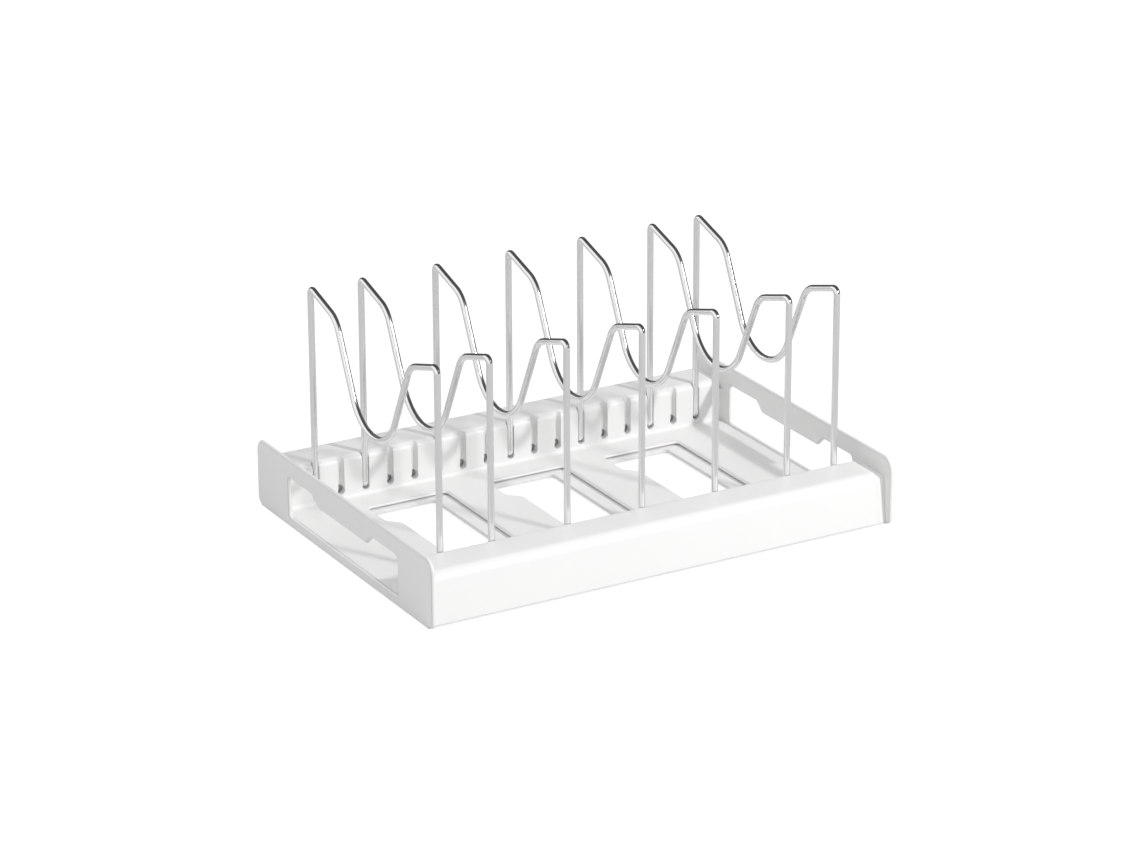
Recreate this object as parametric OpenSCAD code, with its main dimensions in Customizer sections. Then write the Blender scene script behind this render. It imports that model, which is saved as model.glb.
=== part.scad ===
// Extending pot lid rack: two nested plastic trays and seven wire dividers.
// Millimetres. +X runs along the rack, +Y to the rear, +Z up.
// The origin is on the surface the rack stands on, at the middle of the closed rack.

/* [Trays] */
// Length of the closed rack over both end plates
rack_l = 317.2; // [300:0.2:360]
// Width of the end plates
rack_w = 228.6; // [224:0.2:250]
// Height of the end plates
plate_h = 43.3; // [41:0.1:60]
// Thickness of the end plates
plate_t = 2.5; // [2:0.1:3.2]
// Radius of the upper corners of the end plates
plate_top_r = 8.5; // [4:0.5:12]
// Radius of the lower corners of the end plates
plate_low_r = 5; // [3:0.5:8]

/* [Handle windows] */
// Length of the handle windows
grip_w = 142; // [120:1:150]
// Height of the upper edge of the handle windows
grip_top = 31.2; // [28:0.1:33]
// Length of the flat of the tab that hangs into each handle window
grip_tab_w = 63.6; // [40:0.2:80]
// Run of each sloping side of the tab
grip_tab_run = 6.7; // [3:0.1:10]
// Drop of the tab below the upper edge
grip_tab_drop = 6.2; // [3:0.1:9]
// Corner radius of the handle windows
grip_r = 3.2; // [2:0.1:5]

/* [Outer tray] */
// Clear width between the two rails
rails_apart = 159.2; // [150:0.2:162]
// Height of the rail tops
rail_h = 33.3; // [30:0.1:40]
// Half width over the rails at their lower edge
rail_foot_y = 112.2; // [108:0.1:113]
// Height of the lower edge of the rails above the ground
rail_hem = 2; // [1:0.1:4]
// Lean of the outer face of the rails, in degrees
rail_lean = 5.5; // [0:0.5:8]
// Wall of the rails
rail_wall = 2.2; // [1.6:0.1:2.6]
// Radius along the inner top edge of the rails
rail_in_r = 4.5; // [2.6:0.1:6]
// Radius along the outer top edge of the rails
rail_out_r = 6.2; // [4:0.1:9]
// Length of inner rail that shows beyond the outer rails
rail_gap = 6.7; // [3:0.1:20]
// Height of the floor
floor_z = 5.5; // [5:0.1:7]
// Thickness of the floor
floor_t = 2.1; // [1.6:0.1:2.4]
// Gap between the floor's free edge and the end plate
floor_gap = 1.5; // [1.4:0.1:5]
// Fillet between floor and rails
floor_fillet = 2.5; // [1:0.1:3]
// Fillet in the upright corners of the outer tray
corner_r = 4.5; // [2:0.1:6]

/* [Floor windows] */
// Floor between the outermost windows and the end plates
hatch_edge = 45.45; // [40:0.05:55]
// Floor between one window and the next
hatch_bar = 29.2; // [20:0.1:35]
// Width of the floor windows across the rack
hatch_w = 122; // [90:1:130]
// Depth of the tab in each floor window
hatch_tab = 7.7; // [3:0.1:10]
// Length of the flat of that tab
hatch_tab_w = 57; // [30:1:70]
// Run of each sloping side of that tab
hatch_tab_run = 7.9; // [3:0.1:12]
// Corner radius of the floor windows
hatch_r = 3; // [2:0.1:5]

/* [Slots] */
// Number of slots in each rail
slot_count = 17; // [15:1:17]
// Distance from the outermost slots to the end plates
slot_edge = 20.1; // [18:0.1:22]
// Distance from the middle slot to the middle of the closed rack
slot_shift = 0.6; // [0:0.1:2]
// Height of the lower end of the holes
hole_low = 8.8; // [8.6:0.1:10]
// Height of the upper end of the holes
hole_top = 14.3; // [14.1:0.1:18]
// Plastic around the back of each groove
boss_wall = 1.9; // [1.2:0.1:2]

/* [Dividers] */
// Wire thickness
wire_d = 4.1; // [3.6:0.1:4.2]
// Room between the wire and the side of its groove
wire_fit = 0.275; // [0.2:0.005:0.5]
// Height of the corner points at the tops of the posts, on the wire's middle line
wire_top = 146.5; // [120:0.5:180]
// Drop of the sloping shoulder from the post to the inner bend
shoulder_drop = 10; // [4:0.5:20]
// Run of the sloping shoulder across the rack
shoulder_run = 33.4; // [25:0.2:45]
// Height of the lowest point of the valley, on the wire's middle line
valley_z = 76.6; // [50:0.2:100]
// Bend radius of the valley
valley_r = 29.5; // [20:0.5:34]
// Bend radius at the inner end of the shoulder
shoulder_r = 17; // [6:0.5:20]
// Bend radius at the top of the posts
post_r = 3.2; // [3:0.1:12]
// Bend radius at the foot of the posts
foot_r = 2.6; // [2.5:0.05:2.8]
// Height of the feet
foot_z = 11.8; // [11.6:0.1:12]

/* [Inner tray] */
// Height of the underside of the inner floor
inner_lift = 0.7; // [0.4:0.1:1]
// Thickness of the inner floor
inner_floor_t = 2.1; // [1.6:0.1:2.2]
// Room between the two trays where one slides inside the other
slide_fit = 0.4; // [0.3:0.05:0.6]
// Length of inner rail whose side face stands forward, next to the end plate
inner_head = 12; // [10:0.5:13]
// Distance from the left end plate to the end of the inner rails
inner_end_gap = 6; // [5:0.5:30]
// Shift of the inner floor windows towards the left plate
inner_hatch_shift = 9.5; // [0:0.5:12]
// Amount by which the inner floor windows are narrower on each long side
inner_hatch_step = 3.2; // [0:0.1:8]
// Fillet in the upright corners of the inner tray
inner_corner_r = 4.9; // [2:0.1:6]

/* [Hidden] */
$fn = 32;

// Slots that hold a divider, counted from the left plate
used_slots = [0, 2, 5, 8, 11, 14, 16];
// How far cutters run past the faces they cut
over = 1;
// How far joined solids run into each other
bite = 0.5;
// How much slimmer a straight round bar is than its bends, and how far it plugs into them
plug_step = 0.01;
plug = 0.1;
// Shoulder on each side of the rounded bead that runs round every edge of plates and floors
bead_step = 0.15;
// How far the wire's middle line stands behind the inner face of the rail
groove_set = 1.07;
// How much wider the holes are than the grooves, on each side
hole_ease = 0.05;
// Least radius along the inner top edge of the rails' inner forms
least_r = 0.8;
// Share by which the space of a rounded corner runs past the sides, and how far its arc crosses them
corner_past = 1.2;
corner_step = 0.004;

plate_x = rack_l / 2 - plate_t;
half_gap = rails_apart / 2;
slot_pitch = 2 * (plate_x - slot_edge) / (slot_count - 1);
hatch_count = 3;
hatch_l = (2 * (plate_x - hatch_edge) - (hatch_count - 1) * hatch_bar) / hatch_count;
hatch_pitch = hatch_l + hatch_bar;
rail_end = plate_x - rail_gap;
floor_edge = plate_x - floor_gap;
sill_z = floor_z;
groove_r = wire_d / 2 + wire_fit;
hole_r = groove_r + hole_ease;
boss_r = groove_r + boss_wall;
groove_y = half_gap + groove_set;
rail_skin = rail_wall + slide_fit;
head_y = half_gap + rail_skin;
inner_y = groove_y + boss_r + 2 * slide_fit;
inner_top = rail_h - rail_skin;
inner_floor_z = inner_lift + inner_floor_t;
foot_end = groove_y + boss_r + slide_fit / 2;

function slot_x(i) = slot_shift + (i - (slot_count - 1) / 2) * slot_pitch;
function hatch_x(i) = slot_shift + (i - (hatch_count - 1) / 2) * hatch_pitch;

// Outlines and wires are lists of corners [u, v, radius] in one plane.
function at(p, i) = let (n = len(p)) [p[(i + n) % n][0], p[(i + n) % n][1]];
function dir(a, b) = (b - a) / norm(b - a);
function course(p, i) = dir(at(p, i), at(p, i + 1));
function bend(p, i) = atan2(cross(course(p, i - 1), course(p, i)), course(p, i - 1) * course(p, i));
function reach(p, i) = p[i][2] * tan(abs(bend(p, i)) / 2);
function bend_in(p, i) = at(p, i) - course(p, i - 1) * reach(p, i);
function bend_out(p, i) = at(p, i) + course(p, i) * reach(p, i);
function left_of(d) = [-d[1], d[0]];
function bend_mid(p, i) = bend_in(p, i) + sign(bend(p, i)) * p[i][2] * left_of(course(p, i - 1));

// Space between the sharp corner and the arc of one rounded corner, running a little past both sides
module corner_space(p, i) {
    m = bend_mid(p, i);
    difference() {
        polygon([m, for (c = [bend_in(p, i), at(p, i), bend_out(p, i)]) m + corner_past * (c - m)]);
        translate(m) circle(r = p[i][2] + corner_step);
    }
}

// Flat area inside a closed outline with rounded corners, listed anticlockwise
module area(p) {
    n = len(p);
    difference() {
        polygon([for (i = [0:n - 1]) at(p, i)]);
        for (i = [0:n - 1]) if (p[i][2] > 0 && bend(p, i) > 0) corner_space(p, i);
    }
    for (i = [0:n - 1]) if (p[i][2] > 0 && bend(p, i) < 0) corner_space(p, i);
}

// Straight round bar between two points of a plane, plugged into the bends at its ends
module bar(a, b, r) {
    translate([a[0], a[1], 0]) rotate([0, 0, atan2(b[1] - a[1], b[0] - a[0])]) translate([-plug, 0, 0])
        rotate([45, 0, 0]) rotate([0, 90, 0]) cylinder(h = norm(b - a) + 2 * plug, r = r - plug_step);
}

// Quarter-turn or other bend of a round bar
module bar_bend(p, i, r) {
    m = bend_mid(p, i);
    s = bend_in(p, i) - m;
    turn = bend(p, i);
    translate([m[0], m[1], 0]) rotate([0, 0, atan2(s[1], s[0]) + min(turn, 0)])
        rotate_extrude(angle = abs(turn)) translate([p[i][2], 0]) circle(r = r);
}

// Round bar along an open line of corners
module bar_line(p, r) {
    n = len(p);
    for (i = [0:n - 2])
        bar(i == 0 ? at(p, 0) : bend_out(p, i), i == n - 2 ? at(p, n - 1) : bend_in(p, i + 1), r);
    for (i = [1:n - 2]) bar_bend(p, i, r);
}

// Round bar along a closed outline
module bar_ring(p, r) {
    n = len(p);
    for (i = [0:n - 1]) bar(bend_out(p, i), bend_in(p, (i + 1) % n), r);
    for (i = [0:n - 1]) bar_bend(p, i, r);
}

// Turns a drawing in X and Y up into the cross plane Y and Z, with its depth along +X
module upright() { rotate([90, 0, 90]) children(); }

// Profile swept along the rack from x0 to x1
module along(x0, x1) { translate([x0, 0, 0]) upright() linear_extrude(height = x1 - x0) children(); }

// The same thing on the front and the rear side
module both_sides() {
    children();
    mirror([0, 1, 0]) children();
}

// Concave corner fillet in the quadrant of -u and +v
module fillet_area(r) {
    difference() {
        translate([-r, -bite]) square([r + bite, r + bite]);
        translate([-r, r]) circle(r = r);
        translate([-r - over, r]) square([r + 2 * over + bite, over]);
    }
}

// Middle lines of the rounded rims of the end plates
plate_e = plate_t / 2;
plate_rim = plate_e - bead_step;
plate_u = rack_w / 2 - plate_rim;
plate_v = plate_h - plate_rim;
plate_line = [[-plate_u, plate_rim, plate_low_r - plate_rim],
              [plate_u, plate_rim, plate_low_r - plate_rim],
              [plate_u, plate_v, plate_top_r - plate_rim],
              [-plate_u, plate_v, plate_top_r - plate_rim]];
grip_u = grip_w / 2 + plate_rim;
grip_tab_u = grip_tab_w / 2;
grip_low = sill_z - plate_rim;
grip_high = grip_top + plate_rim;
grip_line = [[-grip_u, grip_low, grip_r + plate_rim],
             [grip_u, grip_low, grip_r + plate_rim],
             [grip_u, grip_high, grip_r + plate_rim],
             [grip_tab_u + grip_tab_run, grip_high, grip_r + plate_rim],
             [grip_tab_u, grip_high - grip_tab_drop, grip_r],
             [-grip_tab_u, grip_high - grip_tab_drop, grip_r],
             [-grip_tab_u - grip_tab_run, grip_high, grip_r + plate_rim],
             [-grip_u, grip_high, grip_r + plate_rim]];

// End plate with rounded edges and a handle window, its inner face at the plane X = 0 and its body towards +X
module end_plate() {
    translate([plate_e, 0, 0]) upright() {
        translate([0, 0, -plate_e]) linear_extrude(height = plate_t) difference() {
            union() {
                area(plate_line);
                translate([-rack_w / 2 + plate_low_r, 0]) square([rack_w - 2 * plate_low_r, plate_low_r]);
            }
            area(grip_line);
        }
        bar_ring(plate_line, plate_rim);
        bar_ring(grip_line, plate_rim);
    }
}

// Outer face of a rail at height z, moved inwards by a skin
function rail_face(z, skin) = rail_foot_y - (z - rail_hem) * tan(rail_lean) - skin / cos(rail_lean);

// Cross-section of a rail's solid form inside a skin, from its lower edge to its top
function rail_line(skin, inner_y, low) = [
    [inner_y, low, 0],
    [rail_face(low, skin), low, 0],
    [rail_face(rail_h - skin, skin), rail_h - skin, rail_out_r - skin],
    [inner_y, rail_h - skin, max(rail_in_r - skin, least_r)]];

// Row of round shapes seen from above, one at each slot
module slot_row(r) {
    for (i = [0:slot_count - 1]) translate([slot_x(i), groove_y]) circle(r = r);
}

// Inner wall of the rail seen from above, with the bosses that back its grooves
module wall_plan() {
    difference() {
        slot_row(boss_r);
        translate([-plate_x, half_gap - 2 * boss_r]) square([2 * plate_x, 2 * boss_r + rail_wall / 2]);
    }
}

// Upright slot with round ends, seen from the front
module hole_shape() {
    translate([0, hole_low + hole_r]) circle(r = hole_r);
    translate([0, hole_top - hole_r]) circle(r = hole_r);
    translate([-hole_r, hole_low + hole_r]) square([2 * hole_r, hole_top - hole_low - 2 * hole_r]);
}

// Holes through the wall at the lower ends of the grooves
module slot_holes() {
    translate([0, groove_y + boss_r + over, 0]) rotate([90, 0, 0])
        linear_extrude(height = boss_r + groove_set + 2 * over)
        for (i = [0:slot_count - 1]) translate([slot_x(i), 0]) hole_shape();
}

// Hollow rail, open below, with its grooves, their bosses and holes
module outer_rail() {
    difference() {
        difference() {
            union() {
                along(-plate_x - bite, rail_end) difference() {
                    union() {
                        area(rail_line(0, half_gap, rail_hem));
                        translate([half_gap, floor_z]) fillet_area(floor_fillet);
                    }
                    area(rail_line(rail_wall, half_gap + rail_wall, rail_hem - over));
                    translate([half_gap - over, 0]) square([rail_wall + 2 * over, floor_z - floor_t]);
                }
                translate([0, 0, floor_z - floor_t])
                    linear_extrude(height = rail_h - rail_wall / 2 - floor_z + floor_t) wall_plan();
                translate([-plate_x, half_gap, floor_z - bite]) mirror([1, 0, 0])
                    linear_extrude(height = rail_h - rail_in_r - floor_z + bite) corner_web(corner_r);
            }
            translate([0, 0, hole_low + groove_r]) linear_extrude(height = rail_h) slot_row(groove_r);
        }
        slot_holes();
    }
}

// Concave fillet between an end plate and a rail, seen from above, on the far side of X = 0
module corner_web(r) {
    difference() {
        translate([-r, -r]) square([r + bite, r + bite]);
        translate([-r, -r]) circle(r = r);
    }
}

// Floor window outline around the middle line of its rounded rim, with the tab on its left side
hatch_e = floor_t / 2;
hatch_rim = hatch_e - bead_step;
hatch_tab_u = hatch_tab_w / 2;
hatch_u = hatch_l / 2 + hatch_rim;
hatch_v = hatch_w / 2 + hatch_rim;
hatch_line = [[hatch_u, -hatch_v, hatch_r + hatch_rim],
              [hatch_u, hatch_v, hatch_r + hatch_rim],
              [-hatch_u, hatch_v, hatch_r + hatch_rim],
              [-hatch_u, hatch_tab_u + hatch_tab_run, hatch_r + hatch_rim],
              [-hatch_u + hatch_tab, hatch_tab_u, hatch_r],
              [-hatch_u + hatch_tab, -hatch_tab_u, hatch_r],
              [-hatch_u, -hatch_tab_u - hatch_tab_run, hatch_r + hatch_rim],
              [-hatch_u, -hatch_v, hatch_r + hatch_rim]];

// Free edge of the outer floor, along the middle line of its rounded rim
edge_y = half_gap - hatch_rim;
edge_x = floor_edge - hatch_rim;
edge_line = [[rail_end - floor_t, -edge_y, 0], [edge_x, -edge_y, corner_r],
             [edge_x, edge_y, corner_r], [rail_end - floor_t, edge_y, 0]];

// Floor between the outer rails, with three windows
module outer_floor() {
    translate([0, 0, floor_z - floor_t]) linear_extrude(height = floor_t) difference() {
        union() {
            translate([-plate_x - bite, -half_gap - bite])
                square([rail_end + plate_x + bite, rails_apart + 2 * bite]);
            area(edge_line);
        }
        for (i = [0:hatch_count - 1]) translate([hatch_x(i), 0]) area(hatch_line);
    }
    translate([0, 0, floor_z - hatch_e]) {
        bar_line(edge_line, hatch_rim);
        for (i = [0:hatch_count - 1]) translate([hatch_x(i), 0, 0]) bar_ring(hatch_line, hatch_rim);
    }
}

// Window outline of the inner floor
inner_end = -plate_x + inner_end_gap;
inner_hatch_v = hatch_w / 2 - inner_hatch_step;
inner_hatch_line = [[hatch_l / 2, -inner_hatch_v, hatch_r], [hatch_l / 2, inner_hatch_v, hatch_r],
                    [-hatch_l / 2, inner_hatch_v, hatch_r], [-hatch_l / 2, -inner_hatch_v, hatch_r]];

// Floor under the outer floor, with three windows and a fillet along its end plate
module inner_floor() {
    translate([0, 0, inner_lift]) linear_extrude(height = inner_floor_t) difference() {
        translate([inner_end, -inner_y - bite]) square([plate_x - inner_end + bite, 2 * inner_y + 2 * bite]);
        for (i = [0:hatch_count - 1]) translate([hatch_x(i) - inner_hatch_shift, 0]) area(inner_hatch_line);
    }
    translate([plate_x, head_y, inner_floor_z]) rotate([90, 0, 0])
        linear_extrude(height = 2 * head_y) fillet_area(sill_z - inner_floor_z - slide_fit / 2);
}

// Inner rail: slides inside the outer one, and its head closes the gap beside the end plate
module inner_rail() {
    skin = rail_skin;
    hollow = rail_skin + rail_wall;
    low = inner_lift;
    difference() {
        union() {
            along(inner_end, plate_x + bite) area(rail_line(skin, inner_y, low));
            along(plate_x - inner_head, plate_x + bite) area(rail_line(skin, head_y, low));
        }
        along(inner_end - over, plate_x + over) area(rail_line(hollow, inner_y + rail_wall, low - over));
    }
    translate([plate_x, head_y, inner_lift])
        linear_extrude(height = inner_top - rail_in_r + slide_fit - inner_lift) corner_web(inner_corner_r);
}

// The outer tray, in one piece
module outer_tray() {
    color("whitesmoke") {
        mirror([1, 0, 0]) translate([plate_x, 0, 0]) end_plate();
        both_sides() outer_rail();
        outer_floor();
    }
}

// The inner tray, in one piece
module inner_tray() {
    color("white") {
        translate([plate_x, 0, 0]) end_plate();
        both_sides() inner_rail();
        inner_floor();
    }
}

// A divider's middle line, from the foot in one hole over both posts to the foot in the other
shoulder_y = groove_y - shoulder_run;
shoulder_z = wire_top - shoulder_drop;
// Both flanks run down to one point below the valley. Their slope is found in steps from a first guess
first_slope = 2;
slope_steps = 12;
function flank_base(slope) = valley_z - valley_r * (sqrt(1 + slope * slope) - 1);
function flank_slope(n) = n == 0 ? first_slope : (shoulder_z - flank_base(flank_slope(n - 1))) / shoulder_y;
valley_tip = flank_base(flank_slope(slope_steps));
wire_line = [[foot_end, foot_z, 0], [groove_y, foot_z, foot_r], [groove_y, wire_top, post_r],
             [shoulder_y, shoulder_z, shoulder_r], [0, valley_tip, valley_r],
             [-shoulder_y, shoulder_z, shoulder_r], [-groove_y, wire_top, post_r],
             [-groove_y, foot_z, foot_r], [-foot_end, foot_z, 0]];

// One divider, pushed into a pair of slots
module divider_wire(i) {
    color("silver") translate([slot_x(used_slots[i]), 0, 0]) upright() bar_line(wire_line, wire_d / 2);
}

outer_tray();
inner_tray();
divider_wire(0);  // divider_wire_1
divider_wire(1);  // divider_wire_2
divider_wire(2);  // divider_wire_3
divider_wire(3);  // divider_wire_4
divider_wire(4);  // divider_wire_5
divider_wire(5);  // divider_wire_6
divider_wire(6);  // divider_wire_7
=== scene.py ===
import math

import bpy
from mathutils import Matrix, Vector


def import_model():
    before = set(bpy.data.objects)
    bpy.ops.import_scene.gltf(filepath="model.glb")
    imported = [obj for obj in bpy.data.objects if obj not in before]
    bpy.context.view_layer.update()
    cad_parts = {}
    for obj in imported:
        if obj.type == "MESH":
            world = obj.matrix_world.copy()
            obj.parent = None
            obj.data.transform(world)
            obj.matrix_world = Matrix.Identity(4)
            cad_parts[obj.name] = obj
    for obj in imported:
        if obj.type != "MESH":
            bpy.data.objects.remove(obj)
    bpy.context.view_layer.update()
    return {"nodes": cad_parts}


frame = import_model()
nodes = frame["nodes"]
scene = bpy.context.scene

# camera as solved from the photograph: degrees, metres, and millimetres for the lens and the sensor
CAMERA_AZIMUTH = 29.762
CAMERA_ELEVATION = 21.148
CAMERA_ROLL = -0.194
CAMERA_PLACE = (-1.18951, -2.07645, 0.98227)
CAMERA_LENS = 133.28
CAMERA_SENSOR = 36
CAMERA_CLIP = (0.1, 50)

# plastic of both trays: colour, share of it that the darkest patches keep, and range of roughness
PLASTIC_TINT = (0.875, 0.875, 0.868)
PLASTIC_PATCHES = 0.975
PLASTIC_ROUGHNESS = (0.34, 0.46)
# painted shade: grooves and holes narrower than the reach are painted darker, in place of their shade:
# how open a point has to be for its full colour, and the share of the colour that a closed one loses
PAINTED_SHADE_REACH = 0.006
PAINTED_SHADE_OPEN = 0.5
PAINTED_SHADE_LOSS = 0.9
# radius of the softened edges
EDGE_RADIUS = 0.0007

# metal of the dividers: range of colour and of roughness
WIRE_TINTS = ((0.84, 0.84, 0.85), (0.9, 0.9, 0.9))
WIRE_ROUGHNESS = (0.12, 0.2)

# floor: side, and depth below the feet of the rack
FLOOR_SIZE = 12
FLOOR_DEPTH = 0.0002
# grey that throws light back on the rack, grey that takes the rack's shadow, and the glow added to the latter
FLOOR_MATTE = 0.75
FLOOR_FAINT = 0.3
FLOOR_GLOW = 0.8
# how much less it glows in the metal, which mirrors a light grey floor
FLOOR_MIRRORED_LOSS = 0.45

# level of the soft light, and how it grows to the left, to the rear and overhead
SOFT_LEVEL = 0.43
SOFT_LEAN = (-0.15, 0.08, 0.5)

# direction of the studio's dark side, the cosines where it starts and is full, and the share of white it takes
DARK_SIDE = (0.95, 0.12, 0.28)
DARK_EDGE = (-0.2, -0.05)
DARK_DEPTH = 0.93

# height of the point that the lamp is aimed at
LAMP_AIM = 0.05


def camera():
    azimuth, elevation, roll = [math.radians(a) for a in (CAMERA_AZIMUTH, CAMERA_ELEVATION, CAMERA_ROLL)]
    ahead = Vector((math.sin(azimuth) * math.cos(elevation), math.cos(azimuth) * math.cos(elevation),
                    -math.sin(elevation)))
    right = Vector((math.cos(azimuth), -math.sin(azimuth), 0))
    up = right.cross(ahead)
    right, up = (right * math.cos(roll) + up * math.sin(roll), up * math.cos(roll) - right * math.sin(roll))
    data = bpy.data.cameras.new("camera")
    data.sensor_fit = "HORIZONTAL"
    data.sensor_width = CAMERA_SENSOR
    data.lens = CAMERA_LENS
    data.clip_start, data.clip_end = CAMERA_CLIP
    cam = bpy.data.objects.new("camera", data)
    scene.collection.objects.link(cam)
    turn = Matrix((right, up, -ahead)).transposed().to_4x4()
    cam.matrix_world = Matrix.Translation(Vector(CAMERA_PLACE)) @ turn
    scene.camera = cam


class Tree:
    """Adds and links the shader nodes of a material or a world. Its helpers return the socket with the result."""

    def __init__(self, owner, out="ShaderNodeOutputMaterial"):
        self.owner = owner
        owner.use_nodes = True
        self.tree = owner.node_tree
        self.tree.nodes.clear()
        self.out = self.add(out)

    def add(self, kind, **values):
        node = self.tree.nodes.new(kind)
        for key, value in values.items():
            setattr(node, key, value)
        return node

    def link(self, a, b):
        self.tree.links.new(a, b)

    def math(self, operation, a, b):
        """Math node; each of a and b is a number or a socket."""
        node = self.add("ShaderNodeMath", operation=operation)
        for socket, value in zip(node.inputs, (a, b)):
            if isinstance(value, (int, float)):
                socket.default_value = value
            else:
                self.link(value, socket)
        return node.outputs[0]

    def noise(self, scale, detail):
        """Noise that keeps its place on the piece."""
        place = self.add("ShaderNodeTexCoord")
        node = self.add("ShaderNodeTexNoise")
        node.inputs["Scale"].default_value = scale
        node.inputs["Detail"].default_value = detail
        self.link(place.outputs["Object"], node.inputs["Vector"])
        return node.outputs["Fac"]

    def shade(self, share, first, second):
        """Colour from the first to the second, by the share."""
        node = self.add("ShaderNodeMix", data_type="RGBA")
        node.inputs["A"].default_value = (*first, 1)
        node.inputs["B"].default_value = (*second, 1)
        self.link(share, node.inputs["Factor"])
        return node.outputs["Result"]

    def multiply(self, colour, share):
        node = self.add("ShaderNodeMix", data_type="RGBA", blend_type="MULTIPLY")
        node.inputs["Factor"].default_value = 1
        self.link(colour, node.inputs["A"])
        self.link(share, node.inputs["B"])
        return node.outputs["Result"]

    def ramp(self, value, source=(0, 1), target=(0, 1), **values):
        """Value taken from the source range to the target range and held at both ends."""
        node = self.add("ShaderNodeMapRange", **values)
        for end, number in zip(("From Min", "From Max", "To Min", "To Max"), (*source, *target)):
            node.inputs[end].default_value = number
        self.link(value, node.inputs["Value"])
        return node.outputs["Result"]

    def bump(self, height, strength, distance):
        node = self.add("ShaderNodeBump")
        node.inputs["Strength"].default_value = strength
        node.inputs["Distance"].default_value = distance
        self.link(height, node.inputs["Height"])
        return node

    def seen(self):
        """1 for camera, glossy and transmission rays, else 0."""
        path = self.add("ShaderNodeLightPath")
        mirrored = self.math("MAXIMUM", path.outputs["Is Glossy Ray"], path.outputs["Is Transmission Ray"])
        return self.math("MAXIMUM", path.outputs["Is Camera Ray"], mirrored)

    def toward(self, direction):
        """Dot product of the direction with the direction of the ray that meets the world."""
        place = self.add("ShaderNodeTexCoord")
        node = self.add("ShaderNodeVectorMath", operation="DOT_PRODUCT")
        self.link(place.outputs["Generated"], node.inputs[0])
        node.inputs[1].default_value = direction
        return node.outputs["Value"]

    def principled(self, colour, roughness, normal, constants):
        """The material's surface; the constants are values of the shader's sockets by name."""
        node = self.add("ShaderNodeBsdfPrincipled")
        for name, value in constants.items():
            node.inputs[name].default_value = value
        for name, socket in (("Base Color", colour), ("Roughness", roughness), ("Normal", normal)):
            self.link(socket, node.inputs[name])
        self.link(node.outputs["BSDF"], self.out.inputs["Surface"])

    def diffuse(self, grey):
        node = self.add("ShaderNodeBsdfDiffuse")
        node.inputs["Color"].default_value = (grey, grey, grey, 1)
        return node.outputs[0]

    def background(self, strength):
        node = self.add("ShaderNodeBackground")
        node.inputs["Color"].default_value = (1, 1, 1, 1)
        self.link(strength, node.inputs["Strength"])
        return node.outputs[0]

    def show(self, bounced, seen):
        """The surface: one shader for the light that bounces, another for the rays that are seen."""
        pick = self.add("ShaderNodeMixShader")
        self.link(self.seen(), pick.inputs["Fac"])
        self.link(bounced, pick.inputs[1])
        self.link(seen, pick.inputs[2])
        self.link(pick.outputs[0], self.out.inputs["Surface"])


def satin_plastic(name):
    """White moulded plastic: uneven tone and gloss, painted shade in grooves and holes, softened edges and a fine
    grain.
    """
    t = Tree(bpy.data.materials.new(name))
    shade = t.shade(t.noise(scale=9, detail=3), [c * PLASTIC_PATCHES for c in PLASTIC_TINT], PLASTIC_TINT)
    # painted shade: the colour is darkened where ambient occlusion finds a groove or hole, in place of their shadow
    nook = t.add("ShaderNodeAmbientOcclusion", samples=8, only_local=True)
    nook.inputs["Distance"].default_value = PAINTED_SHADE_REACH
    painted_shade = t.ramp(nook.outputs["AO"], source=(0, PAINTED_SHADE_OPEN), target=(1 - PAINTED_SHADE_LOSS, 1))
    gloss = t.ramp(t.noise(scale=60, detail=4), target=PLASTIC_ROUGHNESS)
    soft = t.add("ShaderNodeBevel", samples=6)
    soft.inputs["Radius"].default_value = EDGE_RADIUS
    grain = t.bump(t.noise(scale=1500, detail=2), strength=0.06, distance=0.0002)
    t.link(soft.outputs["Normal"], grain.inputs["Normal"])
    t.principled(t.multiply(shade, painted_shade), gloss, grain.outputs["Normal"], {"IOR": 1.49, "Specular IOR Level": 0.42})
    return t.owner


def bright_wire(name):
    """Plated wire: uneven shade and gloss, and a fine roughness left by the drawing."""
    t = Tree(bpy.data.materials.new(name))
    cloud = t.noise(scale=70, detail=3)
    gloss = t.ramp(cloud, target=WIRE_ROUGHNESS)
    grain = t.bump(t.noise(scale=900, detail=2), strength=0.03, distance=0.0001)
    t.principled(t.shade(cloud, *WIRE_TINTS), gloss, grain.outputs["Normal"], {"Metallic": 1})
    return t.owner


def dress(node, material):
    mesh = nodes[node].data
    mesh.materials.clear()
    mesh.materials.append(material)


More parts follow.
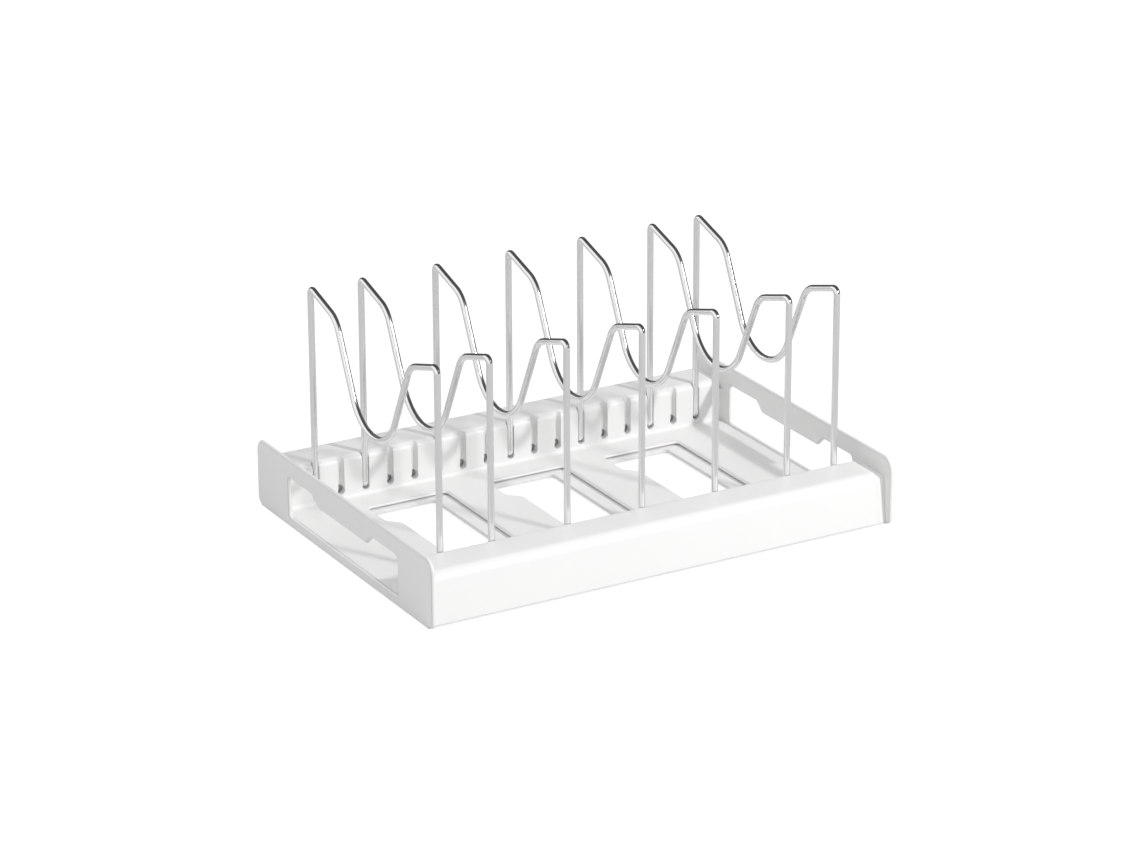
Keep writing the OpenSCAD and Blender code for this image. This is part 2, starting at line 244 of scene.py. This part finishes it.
def floor():
    """White floor: it is seen as a glow that keeps the rack's shadow, and throws light back as a matte grey."""
    bpy.ops.mesh.primitive_plane_add(size=FLOOR_SIZE, location=(0, 0, -FLOOR_DEPTH))
    plane = bpy.context.object
    plane.name = "floor"
    t = Tree(bpy.data.materials.new("floor_white"))
    path = t.add("ShaderNodeLightPath")
    loss = t.math("MULTIPLY", path.outputs["Is Glossy Ray"], FLOOR_MIRRORED_LOSS)
    glow = t.add("ShaderNodeEmission")
    t.link(t.math("SUBTRACT", FLOOR_GLOW, loss), glow.inputs["Strength"])
    lit = t.add("ShaderNodeAddShader")
    t.link(t.diffuse(FLOOR_FAINT), lit.inputs[0])
    t.link(glow.outputs[0], lit.inputs[1])
    t.show(t.diffuse(FLOOR_MATTE), lit.outputs[0])
    plane.data.materials.append(t.owner)


def world():
    """Soft light all round; white to the eye, with the dark side of a studio for what mirrors it."""
    sky = bpy.data.worlds.new("studio")
    scene.world = sky
    t = Tree(sky, "ShaderNodeOutputWorld")
    soft = t.math("ADD", t.toward(SOFT_LEAN), SOFT_LEVEL)
    dark = t.ramp(t.toward(DARK_SIDE), source=DARK_EDGE, interpolation_type="SMOOTHSTEP")
    path = t.add("ShaderNodeLightPath")
    shade = t.math("MULTIPLY", dark, t.math("SUBTRACT", 1, path.outputs["Is Camera Ray"]))
    shown = t.math("SUBTRACT", 1, t.math("MULTIPLY", shade, DARK_DEPTH))
    t.show(t.background(soft), t.background(shown))


def lamp(name, azimuth, elevation, distance, size, power):
    """Area lamp aimed at the rack; azimuth 0 is the front and 90 the right."""
    a, e = math.radians(azimuth), math.radians(elevation)
    back = Vector((math.sin(a) * math.cos(e), -math.cos(a) * math.cos(e), math.sin(e)))
    data = bpy.data.lights.new(name, "AREA")
    data.shape = "DISK"
    data.size = size
    data.energy = power
    obj = bpy.data.objects.new(name, data)
    scene.collection.objects.link(obj)
    obj.location = back * distance + Vector((0, 0, LAMP_AIM))
    obj.rotation_mode = "QUATERNION"
    obj.rotation_quaternion = (-back).to_track_quat("-Z", "Y")


camera()

dress("outer_tray", satin_plastic("outer_tray_plastic"))
dress("inner_tray", satin_plastic("inner_tray_plastic"))
wire_metal = bright_wire("divider_metal")
for name in nodes:
    if name.startswith("divider_wire_"):
        dress(name, wire_metal)

floor()
world()
lamp("key", azimuth=27, elevation=31, distance=3, size=0.2, power=46)
scene.view_settings.view_transform = "Standard"
